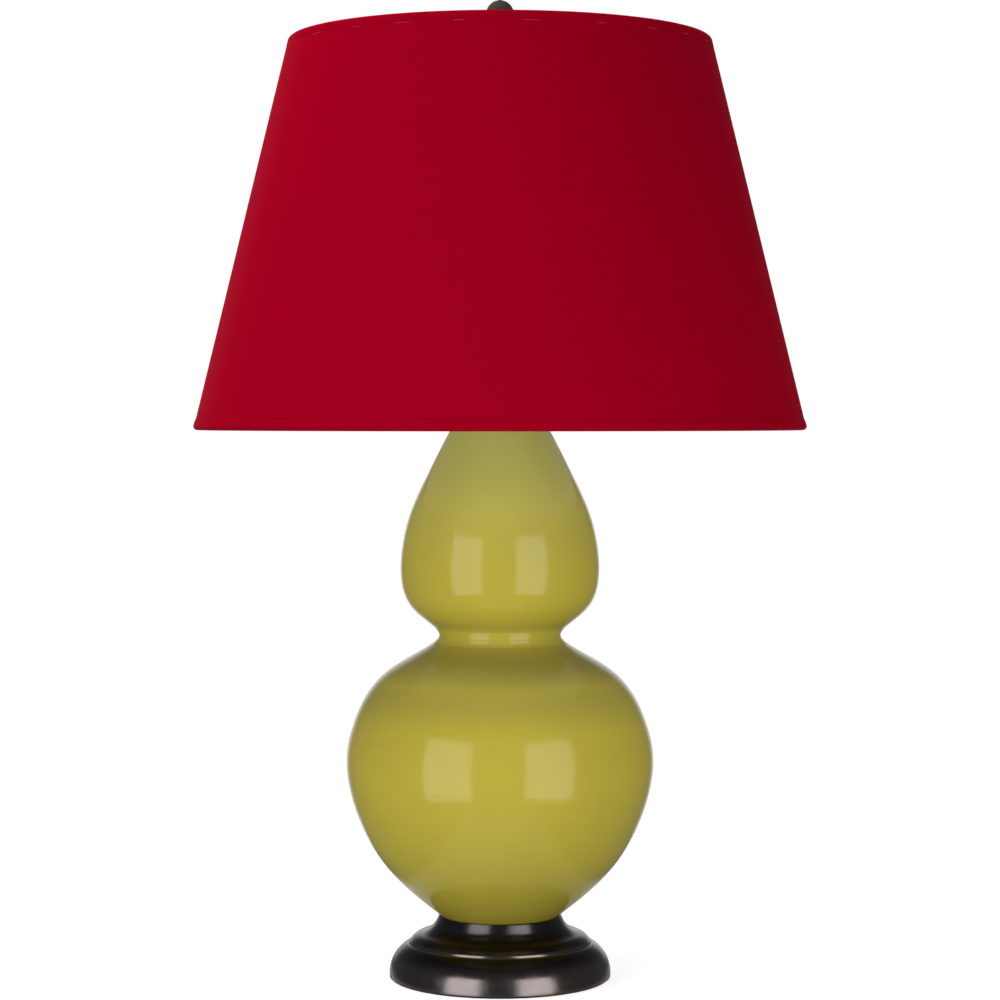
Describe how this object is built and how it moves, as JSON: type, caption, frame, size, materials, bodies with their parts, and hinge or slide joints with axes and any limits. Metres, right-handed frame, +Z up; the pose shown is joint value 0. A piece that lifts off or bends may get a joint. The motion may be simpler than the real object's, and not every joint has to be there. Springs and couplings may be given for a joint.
{
  "type": "table lamp",
  "caption": "Table lamp with a glazed double gourd body on a turned metal base, a tapered drum shade on a harp, a ball finial and a turn switch.",
  "frame": {"origin": "centre of the underside of the base, on the surface the lamp stands on", "axes": "+Z up along the lamp's axis, -Y towards the front, +X to the right seen from the front"},
  "size_m": [0.4825, 0.4826, 0.7726],
  "materials": {
    "felt": "dark wool felt",
    "aged_bronze": "dark bronze finish, satin",
    "bushing_plastic": "moulded, matt",
    "zinc_steel": "zinc plated",
    "cork": "cork, cut",
    "glazed_ceramic": "gloss lime green glaze",
    "brass": "polished brass",
    "harp_wire": "plated steel wire",
    "core_plastic": "moulded phenolic",
    "fibre_sleeve": "fibre board",
    "knob_plastic": "moulded, gloss",
    "bulb_metal": "rolled thread",
    "frosted_glass": "frosted inside",
    "clear_glass": "clear",
    "tungsten": "drawn wire",
    "shade_lining": "matt white styrene",
    "shade_cloth": "slubbed red silk",
    "trim_cloth": "slubbed red silk, folded",
    "frame_wire": "white enamelled wire"
  },
  "bodies": {
    "base": {"felt_pad": "felt", "base_casting": "aged_bronze", "cord_bushing": "bushing_plastic", "threaded_rod": "zinc_steel", "base_washer": "zinc_steel", "lock_washer": "zinc_steel", "base_nut": "zinc_steel", "seat_gasket": "cork", "gourd_body": "glazed_ceramic", "vase_cap": "aged_bronze", "neck_tube": "aged_bronze", "check_ring": "aged_bronze", "harp_saddle": "aged_bronze", "socket_cap": "brass", "socket_shell": "brass", "insulating_sleeve": "fibre_sleeve", "socket_core": "core_plastic", "terminal_screws": "brass", "screw_shell": "brass", "centre_contact": "brass"},
    "switch": {"switch_stem": "brass", "switch_knob": "knob_plastic"},
    "bulb": {"bulb_glass": "frosted_glass", "bulb_stem": "clear_glass", "bulb_filament": "tungsten"},
    "bulb_thread": {"bulb_cap": "bulb_metal", "bulb_contact": "bulb_metal"},
    "harp": {"harp_bow": "harp_wire", "harp_bracket": "harp_wire"},
    "ferrule_left": {"ferrule_left": "aged_bronze"},
    "ferrule_right": {"ferrule_right": "aged_bronze"},
    "harp_stud": {"swivel_stud": "brass"},
    "shade": {"shade_liner": "shade_lining", "shade_fabric": "shade_cloth", "bottom_trim": "trim_cloth", "top_trim": "trim_cloth", "bottom_ring": "frame_wire", "spider_fitter": "frame_wire"},
    "finial_thread": {"finial_insert": "brass"},
    "finial": {"finial_knob": "aged_bronze"}
  },
  "joints": [
    {"name": "switch_turn", "type": "hinge", "parent": "base", "child": "switch", "pos_m": [0, -0.02, 0.523], "axis": [0, -1, 0], "continuous": true},
    {"name": "bulb_travel", "type": "slide", "parent": "base", "child": "bulb", "axis": [0, 0, 1], "range_m": [0, 0.025]},
    {"name": "bulb_turn", "type": "hinge", "parent": "bulb", "child": "bulb_thread", "pos_m": [0, 0, 0.54], "axis": [0, 0, 1], "range_deg": [0, 2482]},
    {"name": "harp_lift", "type": "slide", "parent": "base", "child": "harp", "axis": [0, 0, 1], "range_m": [0, 0.012]},
    {"name": "ferrule_left_slide", "type": "slide", "parent": "harp", "child": "ferrule_left", "axis": [0, 0, 1], "range_m": [0, 0.012]},
    {"name": "ferrule_right_slide", "type": "slide", "parent": "harp", "child": "ferrule_right", "axis": [0, 0, 1], "range_m": [0, 0.012]},
    {"name": "shade_turn", "type": "hinge", "parent": "harp", "child": "harp_stud", "pos_m": [0, 0, 0.725], "axis": [0, 0, 1], "continuous": true},
    {"name": "shade_lift", "type": "slide", "parent": "harp_stud", "child": "shade", "axis": [0, 0, 1], "range_m": [0, 0.33]},
    {"name": "finial_travel", "type": "slide", "parent": "shade", "child": "finial_thread", "axis": [0, 0, 1], "range_m": [0, 0.014]},
    {"name": "finial_turn", "type": "hinge", "parent": "finial_thread", "child": "finial", "pos_m": [0, 0, 0.74], "axis": [0, 0, 1], "range_deg": [0, 5359]}
  ],
  "couplings": [
    {"joint": "bulb_turn", "follows": "bulb_travel", "rad_per_m": 1731.4},
    {"joint": "finial_turn", "follows": "finial_travel", "rad_per_m": 6679}
  ]
}
